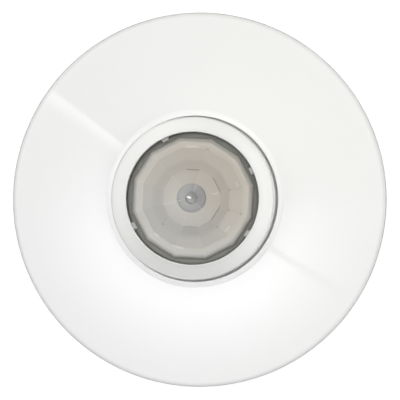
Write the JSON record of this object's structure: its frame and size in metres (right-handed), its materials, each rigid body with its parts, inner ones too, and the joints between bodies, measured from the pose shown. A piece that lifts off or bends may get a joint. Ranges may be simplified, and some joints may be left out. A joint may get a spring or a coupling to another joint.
{
  "type": "motion sensor",
  "caption": "Round ceiling motion sensor: cone-shaped cover, raised ring with a faceted milky lens, twist-off head on a flat mounting plate.",
  "frame": {"origin": "centre of the flat back, on the ceiling face", "axes": "+Z out of the ceiling, through the middle of the lens; +X towards one box screw slot"},
  "size_m": [0.1156, 0.1156, 0.0394],
  "materials": {
    "cover_white": "gloss moulded plastic",
    "ring_white": "gloss moulded plastic",
    "plate_white": "satin moulded plastic",
    "housing_white": "satin moulded plastic",
    "lens_milky": "milky translucent plastic",
    "gasket_grey": "closed-cell foam",
    "clamp_grey": "satin moulded plastic",
    "zinc_steel": "zinc-plated steel",
    "tinned_metal": "tinned copper",
    "gold_wire": "gold-plated wire",
    "can_steel": "nickel-plated steel",
    "sensor_window": "coated silicon",
    "crystal_ceramic": "unglazed ceramic",
    "board_green": "solder-masked glass fibre",
    "black_plastic": "satin moulded plastic",
    "chip_black": "moulded epoxy",
    "trimmer_blue": "satin moulded plastic",
    "dial_white": "satin moulded plastic",
    "button_white": "satin moulded plastic",
    "relay_amber": "gloss moulded plastic",
    "terminal_green": "satin moulded plastic",
    "led_red": "tinted clear epoxy",
    "light_sensor_face": "glazed ceramic",
    "capacitor_can": "bare aluminium",
    "capacitor_sleeve": "shrunk sleeve",
    "chip_tan": "fired ceramic"
  },
  "bodies": {
    "mounting_plate": {"mounting_plate": "plate_white"},
    "sensor_head": {"front_cover": "cover_white", "back_housing": "housing_white", "housing_screws": "zinc_steel", "circuit_board": "board_green", "board_screws": "zinc_steel", "sensor_holder": "black_plastic", "heat_sensor_base": "can_steel", "heat_sensor_can": "can_steel", "heat_sensor_window": "sensor_window", "heat_sensor_crystal": "crystal_ceramic", "heat_sensor_leads": "gold_wire", "indicator_led": "led_red", "indicator_leads": "tinned_metal", "light_sensor": "light_sensor_face", "light_sensor_leads": "tinned_metal", "switch_body": "black_plastic", "switch_terminals": "tinned_metal", "trimmer_bodies": "trimmer_blue", "trimmer_terminals": "tinned_metal", "relay_case": "relay_amber", "relay_pins": "tinned_metal", "terminal_block": "terminal_green", "terminal_screws": "zinc_steel", "terminal_clamps": "zinc_steel", "terminal_pins": "tinned_metal", "controller_chip": "chip_black", "controller_leads": "tinned_metal", "amplifier_chip": "chip_black", "amplifier_leads": "tinned_metal", "voltage_regulator": "chip_black", "regulator_leads": "tinned_metal", "flat_capacitor_cans": "capacitor_can", "flat_capacitor_bases": "black_plastic", "tall_capacitor": "capacitor_sleeve", "tall_capacitor_leads": "tinned_metal", "diodes": "chip_black", "chip_resistors": "chip_black", "chip_capacitors": "chip_tan"},
    "lens_ring": {"lens_ring": "ring_white", "fresnel_lens": "lens_milky", "lens_gasket": "gasket_grey", "lens_retainer": "clamp_grey"},
    "setup_button": {"setup_button": "button_white"},
    "time_dial": {"time_dial": "dial_white"},
    "light_dial": {"light_dial": "dial_white"}
  },
  "joints": [
    {"name": "head_twist", "type": "hinge", "parent": "mounting_plate", "child": "sensor_head", "pos_m": [0, 0, 0.003], "axis": [0, 0, 1], "range_deg": [0, 25]},
    {"name": "lens_ring_twist", "type": "hinge", "parent": "sensor_head", "child": "lens_ring", "pos_m": [0, 0, 0.02], "axis": [0, 0, 1], "range_deg": [0, 24]},
    {"name": "setup_button_press", "type": "slide", "parent": "sensor_head", "child": "setup_button", "axis": [0, 0, -1], "range_m": [0, 0.0003], "stiffness_N_per_m": 800},
    {"name": "time_dial_turn", "type": "hinge", "parent": "sensor_head", "child": "time_dial", "pos_m": [-0.0106, -0.0096, 0.0125], "axis": [0, 0, 1], "range_deg": [-135, 135]},
    {"name": "light_dial_turn", "type": "hinge", "parent": "sensor_head", "child": "light_dial", "pos_m": [0.0106, -0.0096, 0.0125], "axis": [0, 0, 1], "range_deg": [-135, 135]}
  ]
}
